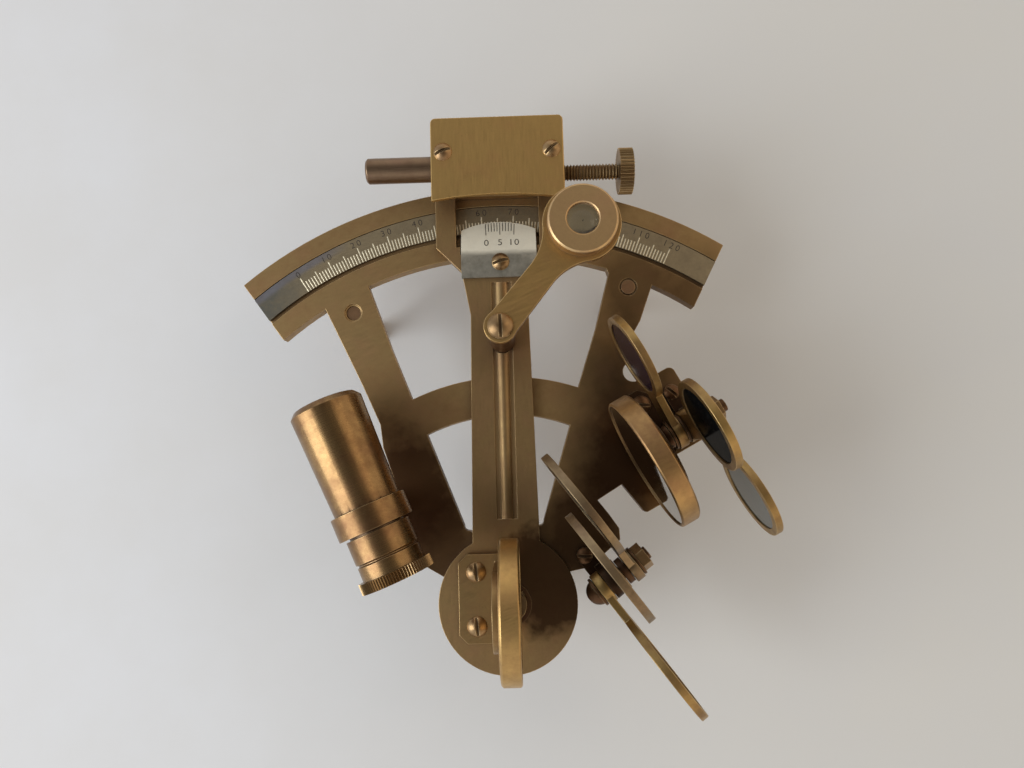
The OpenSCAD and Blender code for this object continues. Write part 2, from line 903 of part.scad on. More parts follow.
// angle bracket: ear at depth z_ear, foot screw at p
module shade_bracket(z_ear, ear_t, foot_z0, foot_z1, foot_s0, foot_s1, p) {
    color(dark_brass)
        difference() {
            union() {
                translate([0, 0, z_ear - ear_t])
                    linear_extrude(height = ear_t)
                        union() {
                            circle(r = lug_r, $fn = 64);
                            translate([-lug_r, -pin_z])
                                square([2 * lug_r, pin_z]);
                        }
                translate([foot_s0, -pin_z, foot_z0])
                    cube([foot_s1 - foot_s0, 1.3, foot_z1 - foot_z0]);
                translate([foot_s0, -pin_z, (foot_z0 + foot_z1) / 2])
                    rotate([-90, 0, 0])
                        cylinder(r = (foot_z1 - foot_z0) / 2, h = 1.3, $fn = 64);
            }
            translate([0, 0, z_ear - ear_t - 1])
                cylinder(r = pin_r, h = ear_t + 2, $fn = 48);
            translate([p[0], -pin_z - 1, p[1]])
                rotate([-90, 0, 0])
                    cylinder(r = 0.85, h = 4, $fn = 32);
        }
}

module index_shade_bracket() {
    ishade_plane()
        shade_bracket(-16.95, 1.4, -18.35, -15.25, -6, lug_r, [-6, -16.8]);
}

module horizon_shade_bracket() {
    hshade_plane()
        shade_bracket(-13.3, 1.6, -15.4, -12.4, -6.9, lug_r, [-6.9, -13.9]);
}

module shade_bracket_screws() {
    color(dark_brass) {
        ishade_plane()
            translate([-6, -pin_z + 1.3, -16.8])
                rotate([-90, 0, 0])
                    domed_screw(1.6, 0.8, 0.85, 2.8, 50, 0.5);
        hshade_plane()
            translate([-6.9, -pin_z + 1.3, -13.9])
                rotate([-90, 0, 0])
                    domed_screw(1.6, 0.8, 0.85, 2.8, 20, 0.5);
    }
}

module shade_pins() {
    color(dark_brass) {
        ishade_plane()
            shade_pin(-14.4);
        hshade_plane()
            shade_pin(-8.25);
    }
}

module shade_washers() {
    color(dark_brass) {
        ishade_plane() {
            shade_washer(-14.93);
            shade_washer(-24.1);
        }
        hshade_plane() {
            shade_washer(-8.78);
            shade_washer(-11.32);
            shade_washer(-17.42);
        }
    }
}

module index_shade_spacer() {
    color(dark_brass)
        ishade_plane()
            translate([0, 0, -21.6])
                difference() {
                    cylinder(r = 2.6, h = 1.25, $fn = 48);
                    translate([0, 0, -1])
                        cylinder(r = pin_r, h = 4, $fn = 48);
                }
}

module shade_nuts() {
    color(brass) {
        ishade_plane()
            shade_nut(-25.95);
        hshade_plane()
            shade_nut(-19.25);
    }
}

module index_shade_1() {
    ishade_plane()
        shade_frame(-15.05, ishade_ang_1, ishade_r, ishade_len);
}

module index_shade_2() {
    ishade_plane()
        shade_frame(-18.45, ishade_ang_2, ishade_r, ishade_len);
}

module index_shade_3() {
    ishade_plane()
        shade_frame(-21.7, ishade_ang_3, ishade_r, ishade_len);
}

module index_glass_1() {
    ishade_plane()
        shade_glass(-15.05, ishade_ang_1, ishade_r, ishade_len, shade_dark);
}

module index_glass_2() {
    ishade_plane()
        shade_glass(-18.45, ishade_ang_2, ishade_r, ishade_len, shade_dark);
}

module index_glass_3() {
    ishade_plane()
        shade_glass(-21.7, ishade_ang_3, ishade_r, ishade_len, shade_grey);
}

module horizon_shade_1() {
    hshade_plane()
        shade_frame(-8.9, hshade_ang_1, hshade_r, hshade_len);
}

module horizon_shade_2() {
    hshade_plane()
        shade_frame(-11.4, hshade_ang_2, hshade_r, hshade_len);
}

module horizon_shade_3() {
    hshade_plane()
        shade_frame(-15.0, hshade_ang_3, hshade_r, hshade_len);
}

module horizon_glass_1() {
    hshade_plane()
        shade_glass(-8.9, hshade_ang_1, hshade_r, hshade_len, shade_dark);
}

module horizon_glass_2() {
    hshade_plane()
        shade_glass(-11.4, hshade_ang_2, hshade_r, hshade_len, shade_dark);
}

module horizon_glass_3() {
    hshade_plane()
        shade_glass(-15.0, hshade_ang_3, hshade_r, hshade_len, shade_grey);
}

// ---- telescope ----

// local z runs from the objective towards the eye, z = 0 at the front face of the collar
module telescope_axis() {
    translate([tele_x, tele_y, frame_z + tele_z])
        rotate([0, 0, tele_dir])
            rotate([0, -90, 0])
                translate([0, 0, -tube_axis_back])
                    children();
}

// post with the collar that grips the tube
module telescope_post() {
    color(brass)
        difference() {
            union() {
                translate([tele_x, tele_y, 0]) {
                    disc(2.4, frame_z + 1.2, tele_z - 1.2);
                    disc(3.5, frame_z + 0.1, 1.2);
                    disc(1.8, leg_h - 3.4, frame_t + 4);
                }
                telescope_axis()
                    cylinder(r = 6.85, h = 4.2, $fn = 96);
            }
            telescope_axis()
                translate([0, 0, -1])
                    cylinder(r = tube_r_eye, h = 7, $fn = 96);
        }
}

module telescope_nut() {
    color(dark_brass)
        translate([tele_x, tele_y, leg_h - 3])
            difference() {
                knurled(4.4, 2.9, 36);
                translate([0, 0, -1])
                    cylinder(r = 1.8, h = 6, $fn = 48);
            }
}

module telescope_tube() {
    color(brass)
        telescope_axis()
            rotate_extrude($fn = 128)
                polygon([[5.1, 4.2], [tube_r_eye - 0.01, 4.2], [tube_r_eye - 0.01, -0.05],
                    [tube_r_eye + 0.02, -0.05], [tube_r_obj, 1 - tube_len], [tube_r_obj - 0.9, -tube_len],
                    [5.3, -tube_len], [5.3, 2.4 - tube_len], [4.7, 2.6 - tube_len], [4.7, 3.4 - tube_len],
                    [5.1, 3.6 - tube_len]]);
}

module objective_lens() {
    color(lens_col)
        telescope_axis()
            intersection() {
                translate([0, 0, 0.8 - tube_len])
                    cylinder(r = 5.28, h = 1.58, $fn = 96);
                translate([0, 0, 0.8 - tube_len + 14])
                    sphere(r = 14, $fn = 96);
            }
}

// draw tube carrying the eye end
module eyepiece_sleeve() {
    color(brass)
        telescope_axis()
            rotate_extrude($fn = 128)
                polygon([[4.2, -6], [5.06, -6], [5.06, 4.6], [5.8, 4.6], [5.8, 8.9], [5.35, 9.1], [5.35, 9.3],
                    [5.7, 9.5], [5.7, 12.0], [5.0, 12.0], [5.0, 13.4], [4.2, 13.4], [4.2, 11.6],
                    [3.8, 11.6], [3.8, 10.8], [4.2, 10.6]]);
}

module eyepiece_ring() {
    color(brass)
        telescope_axis()
            difference() {
                translate([0, 0, 12.02])
                    knurled(6.65, 1.9, 80);
                translate([0, 0, 11])
                    cylinder(r = 5.02, h = 2.42, $fn = 96);
                translate([0, 0, 11])
                    cylinder(r = 2.6, h = 5, $fn = 64);
            }
}

module eyepiece_lens() {
    color(lens_col)
        telescope_axis()
            translate([0, 0, 11.62])
                cylinder(r = 4.18, h = 1.7, $fn = 96);
}

frame();
arc_scale();
limb_feet();
pivot_foot();
pivot_washer();
pivot_screw();
index_arm();
vernier_plate();
vernier_screw();
tangent_housing();
cover_plate();
cover_screws();
spring_barrel();
tangent_spring();
spring_plunger();
tangent_pad();
tangent_screw();
clamp_shoe();
clamp_screw();
magnifier_post();
magnifier_arm();
magnifier_bezel();
magnifier_lens();
magnifier_screw();
index_mirror_bracket();
index_mirror_bezel();
index_mirror_glass();
index_mirror_screws();
horizon_mirror_bracket();
horizon_mirror_bezel();
horizon_mirror_glass();
horizon_mirror_screws();
index_shade_bracket();
horizon_shade_bracket();
shade_bracket_screws();
shade_pins();
shade_washers();
index_shade_spacer();
shade_nuts();
index_shade_1();
index_shade_2();
index_shade_3();
index_glass_1();
index_glass_2();
index_glass_3();
horizon_shade_1();
horizon_shade_2();
horizon_shade_3();
horizon_glass_1();
horizon_glass_2();
horizon_glass_3();
telescope_post();
telescope_nut();
telescope_tube();
objective_lens();
eyepiece_sleeve();
eyepiece_ring();
eyepiece_lens();
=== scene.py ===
"""Looks for a small brass sextant: rounded edges, worn brass, engraved scale, glass, light and camera."""

import json
import math

import bmesh
import bpy
from mathutils import Matrix, Vector


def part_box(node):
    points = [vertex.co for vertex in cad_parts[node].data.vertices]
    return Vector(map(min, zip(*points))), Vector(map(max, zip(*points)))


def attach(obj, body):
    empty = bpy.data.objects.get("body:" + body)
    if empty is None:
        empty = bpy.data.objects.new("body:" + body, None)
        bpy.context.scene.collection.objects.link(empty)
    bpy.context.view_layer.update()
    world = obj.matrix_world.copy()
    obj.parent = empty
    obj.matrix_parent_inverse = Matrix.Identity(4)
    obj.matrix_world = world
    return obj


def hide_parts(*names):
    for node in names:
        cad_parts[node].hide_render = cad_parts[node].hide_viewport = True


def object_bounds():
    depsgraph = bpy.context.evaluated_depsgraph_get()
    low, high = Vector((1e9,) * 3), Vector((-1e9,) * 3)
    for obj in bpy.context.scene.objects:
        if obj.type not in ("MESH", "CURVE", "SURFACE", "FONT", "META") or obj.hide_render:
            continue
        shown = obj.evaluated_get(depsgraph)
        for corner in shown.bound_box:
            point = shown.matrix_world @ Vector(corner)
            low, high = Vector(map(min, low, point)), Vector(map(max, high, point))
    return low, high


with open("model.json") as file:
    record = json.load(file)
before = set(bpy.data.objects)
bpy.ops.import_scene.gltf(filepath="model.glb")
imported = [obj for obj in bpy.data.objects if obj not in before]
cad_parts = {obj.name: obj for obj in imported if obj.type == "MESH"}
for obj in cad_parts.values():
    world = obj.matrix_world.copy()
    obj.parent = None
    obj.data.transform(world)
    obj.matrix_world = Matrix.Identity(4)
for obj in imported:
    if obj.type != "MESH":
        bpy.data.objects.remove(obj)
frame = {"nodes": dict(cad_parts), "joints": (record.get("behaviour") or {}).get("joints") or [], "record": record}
cad_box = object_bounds()

MM = 0.001
NODE_BODY = {n: body for body, nodes in frame["record"]["behaviour"]["bodies"].items() for n in nodes}
JOINT_AXIS = {j["name"]: tuple(j["axis"]) for j in frame["joints"]}
TUBE_AXIS = JOINT_AXIS["telescope_focus"]
ARM_ACROSS = JOINT_AXIS["tangent_travel"]
ARM_ALONG = (-ARM_ACROSS[1], ARM_ACROSS[0], 0.0)


# ---- shader graphs: places and lengths in them are in millimetres ----

# Noise patterns: grains to the millimetre, detail, roughness. Their values lie about 0.5.
PATCHES = (0.09, 4.0, 0.6)
ROSE_PATCHES = (0.22, 3.0, 0.5)
BLOTCHES = (0.55, 5.0, 0.65)
SPECKS = (3.2, 3.0, 0.6)
BRUSHED = (1.0, 3.0, 0.6)
SILVER_BRUSHED = (1.0, 4.0, 0.6)
SCALE_TARNISH = (0.35, 5.0, 0.7)
VERNIER_TARNISH = (0.5, 5.0, 0.7)
HANDLING = (0.8, 4.0, 0.6)
DUST = (2.4, 5.0, 0.7)
DULLED = (0.6, 4.0, 0.6)
CLOUDS = (0.5, 5.0, 0.65)
BROKEN_INK = (1.8, 4.0, 0.6)
TABLE_SHADES = (0.02, 5.0, 0.6)

# Brush marks: how far the noise is squeezed along them and across them.
BRASS_BRUSH = (0.25, 7.0)
SILVER_BRUSH = (0.6, 5.0)

RELIEF_DEPTH = 0.02
GLASS_INDEX = 1.5
INPUT_NAMES = {"colour": "Base Color", "metallic": "Metallic", "rough": "Roughness", "normal": "Normal",
               "index": "IOR", "through": "Transmission Weight", "shine": "Specular IOR Level",
               "coat": "Coat Weight", "coat_rough": "Coat Roughness"}


def rgba(value):
    """A colour of three numbers made ready for a socket; a socket stays as it is."""
    return (*value, 1.0) if isinstance(value, tuple) else value


def scaled(colour, share):
    """A colour times one share, or times one share for each of its three parts."""
    shares = share if isinstance(share, tuple) else (share,) * 3
    return tuple(part * by for part, by in zip(colour, shares))


class Graph:
    """The node tree of a material or world, built from calls that return sockets."""

    def __init__(self, owner):
        owner.use_nodes = True
        self.owner = owner
        self.tree = owner.node_tree
        self.tree.nodes.clear()

    def node(self, kind, inputs=None, **settings):
        """Adds a node; inputs gives the sockets or values that go into it."""
        made = self.tree.nodes.new(kind)
        for key, value in settings.items():
            setattr(made, key, value)
        for key, value in (inputs or {}).items():
            if isinstance(value, bpy.types.NodeSocket):
                self.tree.links.new(value, made.inputs[key])
            else:
                made.inputs[key].default_value = value
        return made

    def place(self):
        """Position on the object in millimetres."""
        spot = self.node("ShaderNodeTexCoord").outputs["Object"]
        return self.node("ShaderNodeVectorMath", {0: spot, "Scale": 1 / MM}, operation="SCALE").outputs[0]

    def math(self, operation, a, b):
        return self.node("ShaderNodeMath", {0: a, 1: b}, operation=operation).outputs[0]

    def vector_value(self, operation, a, b=(0.0, 0.0, 0.0)):
        """The number that comes out of a dot product, a distance or a length."""
        return self.node("ShaderNodeVectorMath", {0: a, 1: b}, operation=operation).outputs["Value"]

    def part(self, vector, index):
        """X, Y or Z of a vector."""
        return self.node("ShaderNodeSeparateXYZ", {0: vector}).outputs[index]

    def noise(self, vector, pattern):
        scale, detail, rough = pattern
        settings = {"Vector": vector, "Scale": scale, "Detail": detail, "Roughness": rough}
        return self.node("ShaderNodeTexNoise", settings).outputs["Fac"]

    def fade(self, value, low, high, to_low=0.0, to_high=1.0):
        """Runs from to_low to to_high while value runs from low to high."""
        settings = {"Value": value, "From Min": low, "From Max": high, "To Min": to_low, "To Max": to_high}
        return self.node("ShaderNodeMapRange", settings).outputs[0]

    def mix(self, factor, a, b, blend="MIX"):
        settings = {0: factor, 6: rgba(a), 7: rgba(b)}
        return self.node("ShaderNodeMix", settings, data_type="RGBA", blend_type=blend).outputs[2]

    def stretched(self, vector, direction, along, across):
        """The position squeezed so that noise runs in long lines along a horizontal direction."""
        turn = -math.atan2(direction[1], direction[0])
        settings = {"Vector": vector, "Rotation": (0.0, 0.0, turn)}
        turned = self.node("ShaderNodeMapping", settings, vector_type="POINT").outputs[0]
        size = {"Vector": turned, "Scale": (along, across, across)}
        return self.node("ShaderNodeMapping", size, vector_type="POINT").outputs[0]

    def edges(self, radius):
        """1 on sharp edges of the mesh, 0 on its flats."""
        soft = self.node("ShaderNodeBevel", {"Radius": radius * MM}, samples=4).outputs[0]
        hard = self.node("ShaderNodeNewGeometry").outputs["Normal"]
        return self.fade(self.vector_value("DOT_PRODUCT", soft, hard), 0.995, 0.9)

    def recess(self, distance):
        """Ambient occlusion as a mask for painting shade: 1 deep in corners, 0 in the open."""
        light = self.node("ShaderNodeAmbientOcclusion", {"Distance": distance * MM}, samples=4)
        return self.fade(light.outputs["AO"], 0.85, 0.25)

    def relief(self, height, strength):
        """The normal of a finely uneven surface."""
        settings = {"Height": height, "Strength": strength, "Distance": RELIEF_DEPTH * MM}
        return self.node("ShaderNodeBump", settings).outputs[0]

    def surface(self, **inputs):
        """Ends a material and returns it; the inputs go by their short names."""
        settings = {INPUT_NAMES[key]: value for key, value in inputs.items()}
        shader = self.node("ShaderNodeBsdfPrincipled", settings)
        self.node("ShaderNodeOutputMaterial", {"Surface": shader.outputs[0]})
        return self.owner


def new_material(name):
    return Graph(bpy.data.materials.new(name))


# ---- metals ----

# The brown that is painted into the brass as shade and dark reflections.
PAINTED_SHADE_BROWN = (0.060, 0.026, 0.013)
WORN_EDGE = (0.80, 0.60, 0.32)
CORNER_REACH = 2.2
WORN_WIDTH = 0.22
ROSE_CAST = (0.95, 0.8, 0.95)
PLATE_GRAIN = (1.0, 0.35)
SCALE_GRAIN = (1.0, 0.2)
TURNED_LINES = {"Scale": 9.0, "Detail": 3.0}


def metal_lines(g, spot, specks, grain, turned):
    """Brush marks along the direction grain, or rings round the axis turned."""
    if turned is None:
        return g.noise(g.stretched(spot, grain, *BRASS_BRUSH), BRUSHED)
    along = g.vector_value("DOT_PRODUCT", spot, turned)
    rings = g.node("ShaderNodeTexNoise", {"W": along, **TURNED_LINES}, noise_dimensions="1D").outputs["Fac"]
    return g.math("ADD", g.math("MULTIPLY", rings, 0.7), g.math("MULTIPLY", specks, 0.3))


def metal(name, base, patina, rough, grain=PLATE_GRAIN, turned=None, wear=0.6, stain=0.45, painted_shade=()):
    """Old brass: a base colour under a patchy patina, darker in corners and brighter on its edges.

    The darkening in corners is partly patina in the hollows and partly painted shade. rough is the roughness
    where the brass is clean and where it is stained, stain and wear say how much patina and how bright an
    edge it has, and the last argument lists the places where shade and dark reflections are painted in as
    a brown: (centre in mm, full to this distance, gone at this one, how much).
    """
    g = new_material(name)
    spot = g.place()
    patches = g.noise(spot, PATCHES)
    blotch = g.noise(spot, BLOTCHES)
    specks = g.noise(spot, SPECKS)
    lines = metal_lines(g, spot, specks, grain, turned)
    age = g.math("ADD", g.math("MULTIPLY", patches, 0.6), g.math("MULTIPLY", blotch, 0.4))

    colour = g.mix(g.math("MULTIPLY", g.fade(age, 0.38, 0.66), stain), base, patina)
    rosy = g.fade(g.noise(spot, ROSE_PATCHES), 0.5, 0.75, 0.0, 0.35)
    colour = g.mix(rosy, colour, scaled(base, ROSE_CAST))
    colour = g.mix(g.fade(specks, 0.62, 0.8, 0.0, 0.35), colour, scaled(patina, 0.4))
    ragged = g.math("ADD", g.fade(blotch, 0.3, 0.7, -0.9, 0.9), g.fade(patches, 0.35, 0.65, -1.8, 1.8))
    # Painted shade and dark reflections: brown laid on round each listed place.
    for centre, full, gone, amount in painted_shade:
        away = g.math("ADD", g.vector_value("DISTANCE", spot, centre), ragged)
        colour = g.mix(g.fade(away, full, gone, amount, 0.0), colour, PAINTED_SHADE_BROWN)
    # Darker in corners: partly patina in the hollows, partly painted shade from ambient occlusion.
    corner = g.recess(CORNER_REACH)
    colour = g.mix(g.math("MULTIPLY", corner, 0.75), colour, scaled(patina, 0.45))
    worn = g.math("MULTIPLY", g.edges(WORN_WIDTH), g.fade(blotch, 0.3, 0.62, 0.35 * wear, wear))
    colour = g.mix(worn, colour, WORN_EDGE)

    grit = g.fade(lines, 0.3, 0.7, -0.06, 0.06)
    roughness = g.math("ADD", g.fade(age, 0.35, 0.65, *rough), grit)
    roughness = g.math("SUBTRACT", roughness, g.math("MULTIPLY", worn, 0.12))
    height = g.math("ADD", g.math("MULTIPLY", lines, 0.7), g.math("MULTIPLY", specks, 0.3))
    return g.surface(colour=colour, metallic=g.fade(corner, 0.0, 1.0, 1.0, 0.55), rough=roughness,
                     normal=g.relief(height, 0.22))


# The scale's left end is tarnished: from the first x to the second, and its outer margin from the first
# radius to the second.
END_TARNISH = (0.14, 0.145, 0.13)
END_X = (-34.0, -44.0)
MARGIN_TARNISH = (0.25, 0.24, 0.27)
MARGIN_X = (-27.0, -33.0)
MARGIN_RADIUS = (76.9, 77.7)
END_AMOUNT = 0.9
MARGIN_AMOUNT = 0.72


def scale_silver(name):
    """Silvered brass with blotchy tarnish, greyer at the scale's left end."""
    g = new_material(name)
    spot = g.place()
    blotch = g.noise(spot, SCALE_TARNISH)
    fine = g.noise(g.stretched(spot, SCALE_GRAIN, *SILVER_BRUSH), SILVER_BRUSHED)
    cover = g.math("MULTIPLY", g.fade(blotch, 0.36, 0.68), 0.8)
    colour = g.mix(cover, (0.41, 0.325, 0.20), (0.26, 0.205, 0.13))
    left = g.part(spot, 0)
    end = g.math("MULTIPLY", g.fade(left, *END_X), g.fade(blotch, 0.3, 0.6, 0.5, 1.0))
    colour = g.mix(g.math("MULTIPLY", end, END_AMOUNT), colour, END_TARNISH)
    level = g.node("ShaderNodeVectorMath", {0: spot, 1: (1.0, 1.0, 0.0)}, operation="MULTIPLY").outputs[0]
    radius = g.vector_value("LENGTH", level)
    margin = g.math("MULTIPLY", g.fade(radius, *MARGIN_RADIUS), g.fade(left, *MARGIN_X))
    colour = g.mix(g.math("MULTIPLY", margin, MARGIN_AMOUNT), colour, MARGIN_TARNISH)
    # Painted shade: near black in the corners and along the walls of the strip's recess.
    colour = g.mix(g.math("MULTIPLY", g.recess(1.2), 0.6), colour, (0.05, 0.04, 0.03))
    roughness = g.math("ADD", g.fade(blotch, 0.3, 0.7, 0.36, 0.5), g.fade(fine, 0.3, 0.7, -0.07, 0.07))
    return g.surface(colour=colour, metallic=0.85, rough=roughness, normal=g.relief(fine, 0.2))


# Along the arm from the index axis, the vernier's flat gives way to its slope between these two.
FOLD_BAND = (67.9, 69.0)


def vernier_face(name):
    """Painted light on one silvered plate: the slope that carries the divisions is a bright matte cream for the
    light it catches, and the flat behind it is a darker grey silvering.
    """
    g = new_material(name)
    spot = g.place()
    blotch = g.noise(spot, VERNIER_TARNISH)
    fine = g.noise(g.stretched(spot, ARM_ALONG, *SILVER_BRUSH), SILVER_BRUSHED)
    along = g.vector_value("DOT_PRODUCT", spot, ARM_ALONG)
    slope = g.fade(g.math("ADD", along, g.fade(blotch, 0.3, 0.7, -0.3, 0.3)), *FOLD_BAND)
    # Painted light: the slope's bright cream and the flat's darker grey stand in for how each face is lit.
    cream = g.mix(g.fade(blotch, 0.45, 0.75, 0.0, 0.5), (0.82, 0.765, 0.62), (0.68, 0.62, 0.49))
    grey = g.mix(g.fade(blotch, 0.35, 0.7), (0.52, 0.49, 0.41), (0.31, 0.29, 0.235))
    colour = g.mix(slope, grey, cream)
    # Painted shade: near black in corners and along the edges of recesses.
    colour = g.mix(g.math("MULTIPLY", g.recess(1.0), 0.5), colour, (0.06, 0.05, 0.035))
    roughness = g.math("ADD", g.fade(slope, 0.0, 1.0, 0.40, 0.62), g.fade(fine, 0.3, 0.7, -0.06, 0.06))
    return g.surface(colour=colour, metallic=g.fade(slope, 0.0, 1.0, 0.9, 0.0), rough=roughness,
                     normal=g.relief(fine, 0.15))


def ink(name, base, rough, metallic):
    """The broken colour of an engraved line."""
    g = new_material(name)
    patch = g.noise(g.place(), BROKEN_INK)
    colour = g.mix(g.fade(patch, 0.4, 0.7, 0.0, 0.6), base, scaled(base, 0.5))
    return g.surface(colour=colour, rough=g.fade(patch, 0.3, 0.7, rough, rough + 0.2), metallic=metallic)


# ---- glass and paper ----

def lens(name):
    """Clear glass with a faint trace of handling."""
    g = new_material(name)
    smear = g.fade(g.noise(g.place(), HANDLING), 0.45, 0.75, 0.01, 0.07)
    return g.surface(colour=rgba((0.93, 0.97, 0.96)), rough=smear, index=GLASS_INDEX, through=1.0)


def shade_glass(name, tint, through, shine, index=GLASS_INDEX):
    """Tinted glass: dust on its face, the given shares of light coming through and off its face."""
    g = new_material(name)
    spot = g.place()
    dust = g.fade(g.noise(spot, DUST), 0.55, 0.8, 0.0, 0.5 * shine)
    colour = g.mix(dust, tint, (0.30, 0.29, 0.27))
    roughness = g.fade(g.noise(spot, DULLED), 0.4, 0.75, 0.06, 0.18)
    return g.surface(colour=colour, rough=roughness, index=index, through=through, shine=shine)


def mirror_glass(name):
    """Silvered glass with clouding in its silvering."""
    g = new_material(name)
    cloud = g.noise(g.place(), CLOUDS)
    colour = g.mix(g.fade(cloud, 0.42, 0.7, 0.0, 0.7), (0.34, 0.36, 0.35), (0.12, 0.115, 0.10))
    return g.surface(colour=colour, metallic=1.0, rough=g.fade(cloud, 0.4, 0.75, 0.02, 0.12), coat=1.0,
                     coat_rough=0.02)


def paper(name):
    """The pale table top with painted light: brighter and cooler on the left, where the window light falls, and
    darker and warmer on the right.
    """
    g = new_material(name)
    spot = g.place()
    colour = g.mix(g.fade(g.part(spot, 0), -90.0, 70.0), (0.83, 0.845, 0.875), (0.79, 0.775, 0.735))
    shaded = g.fade(g.noise(spot, TABLE_SHADES), 0.35, 0.65, 0.0, 0.5)
    return g.surface(colour=g.mix(shaded, colour, (0.77, 0.765, 0.755)), rough=0.75)


# ---- the materials ----

GOLD = (0.64, 0.41, 0.15)
OLIVE = (0.475, 0.315, 0.14)
BROWN = (0.24, 0.13, 0.06)
DARK = (0.10, 0.05, 0.024)

# Where shade and dark reflections are painted into the brass as a brown: centre in mm, full to, gone at, how much.
FRAME_PAINTED_SHADE = (((25.5, 26.0, 25.0), 6.0, 17.0, 0.93), ((15.0, 12.0, 25.0), 5.0, 14.0, 0.86),
              ((-14.0, 12.0, 25.0), 6.0, 15.0, 0.82), ((28.0, 42.0, 25.0), 5.0, 17.0, 0.7),
              ((30.0, 60.0, 25.0), 4.0, 12.0, 0.6), ((42.0, 57.0, 25.0), 3.0, 11.0, 0.6),
              ((-18.5, 23.5, 25.0), 7.5, 15.0, 0.86), ((-21.5, 35.0, 25.0), 2.0, 14.0, 0.6))
ARM_PAINTED_SHADE = (((8.5, 3.5, 27.0), 8.5, 11.5, 0.84), ((1.5, 17.0, 27.0), 2.0, 10.0, 0.4),
            ((2.2, 50.0, 27.0), 2.0, 10.0, 0.3))
RIM_PAINTED_SHADE = (((40.0, 30.0, 29.0), 1.0, 8.0, 0.35),)
LENS_RING_AXIS = (0.4, 0.4, 0.9)

MATERIALS = {
    "plate": metal("frame_brass", OLIVE, BROWN, (0.40, 0.52), stain=0.6, painted_shade=FRAME_PAINTED_SHADE),
    "arm": metal("arm_brass", OLIVE, (0.30, 0.17, 0.09), (0.38, 0.50), grain=ARM_ALONG, stain=0.7,
                 painted_shade=ARM_PAINTED_SHADE),
    "cover": metal("cover_brass", GOLD, (0.42, 0.27, 0.10), (0.36, 0.46), grain=ARM_ALONG, stain=0.5),
    "shade": metal("shade_brass", (0.50, 0.33, 0.12), (0.20, 0.11, 0.06), (0.34, 0.50), stain=0.8, wear=0.9),
    # Darker, greyer brass for two of the index shades.
    "shade_darker": metal("darker_shade_brass", (0.36, 0.255, 0.14), (0.14, 0.09, 0.055), (0.34, 0.50),
                        stain=0.8, wear=0.7),
    "bezel": metal("bezel_brass", GOLD, (0.27, 0.15, 0.07), (0.33, 0.47), stain=0.6, wear=0.8),
    "rim": metal("mirror_rim_brass", (0.50, 0.31, 0.125), (0.22, 0.115, 0.06), (0.34, 0.48), stain=0.75,
                 wear=0.7, painted_shade=RIM_PAINTED_SHADE),
    "mirror_back": metal("mirror_bracket_brass", (0.42, 0.28, 0.12), BROWN, (0.36, 0.5), stain=0.7),
    "tube": metal("tube_brass", (0.34, 0.21, 0.09), (0.145, 0.07, 0.034), (0.25, 0.34), turned=TUBE_AXIS,
                  stain=0.85, wear=0.5),
    "knob": metal("knob_brass", (0.34, 0.22, 0.10), DARK, (0.36, 0.5), turned=ARM_ACROSS, stain=0.7,
                  wear=0.9),
    "lens_ring": metal("lens_ring_brass", (0.68, 0.46, 0.225), (0.34, 0.20, 0.10), (0.36, 0.46),
                       turned=LENS_RING_AXIS, stain=0.5, wear=0.9),
    "screw": metal("screw_brass", (0.42, 0.27, 0.13), DARK, (0.28, 0.42), stain=0.6, wear=0.9),
    "barrel": metal("barrel_brass", (0.30, 0.205, 0.125), (0.17, 0.10, 0.065), (0.28, 0.4), grain=ARM_ACROSS,
                    stain=0.7),
    # Dark brass, partly painted shade: the horizon mirror screws, the shade washers and the housing under the
    # cover plate are darkened for the shade they sit in.
    "dark": metal("dark_brass", (0.17, 0.09, 0.045), DARK, (0.42, 0.56), stain=0.7, wear=0.5),
    # Painted shade: near-black brass for the mirror and shade brackets that sit in shadow behind the horizon
    # mirror.
    "painted_shade_brass": metal("painted_shade_dark_brass", (0.07, 0.038, 0.02), (0.03, 0.016, 0.01), (0.42, 0.58),
                         stain=0.7, wear=0.35),
    "rivet": metal("rivet_brass", (0.30, 0.18, 0.10), BROWN, (0.42, 0.56), stain=0.7, wear=0.5),
    "steel": metal("spring_steel", (0.42, 0.40, 0.37), (0.20, 0.16, 0.12), (0.3, 0.45), wear=0.4),
    "scale": scale_silver("scale_silver"),
    "vernier": vernier_face("vernier_silver"),
    "mirror": mirror_glass("mirror_silver"),
    "lens": lens("lens_glass"),
    "shade_violet": shade_glass("violet_glass", (0.022, 0.010, 0.019), 0.16, 0.3),
    "shade_black": shade_glass("black_glass", (0.003, 0.003, 0.003), 0.0, 0.3, index=1.06),
    "shade_grey": shade_glass("grey_glass", (0.135, 0.14, 0.12), 0.25, 0.35),
    "tick": ink("tick_silver", (0.85, 0.76, 0.55), 0.3, 0.7),
    "black": ink("engraved_black", (0.045, 0.035, 0.025), 0.5, 0.0),
}


# ---- the CAD solids with worked edges ----

# Meshes are worked in millimetres.
WELD = 0.001
FLAT = math.radians(0.4)
SHARP = math.radians(28)
KEPT_SHARP = math.radians(46)
KNURL_SHARP = math.radians(20)


def show(name, data):
    """Puts a new object into the scene."""
    made = bpy.data.objects.new(name, data)
    bpy.context.scene.collection.objects.link(made)
    return made


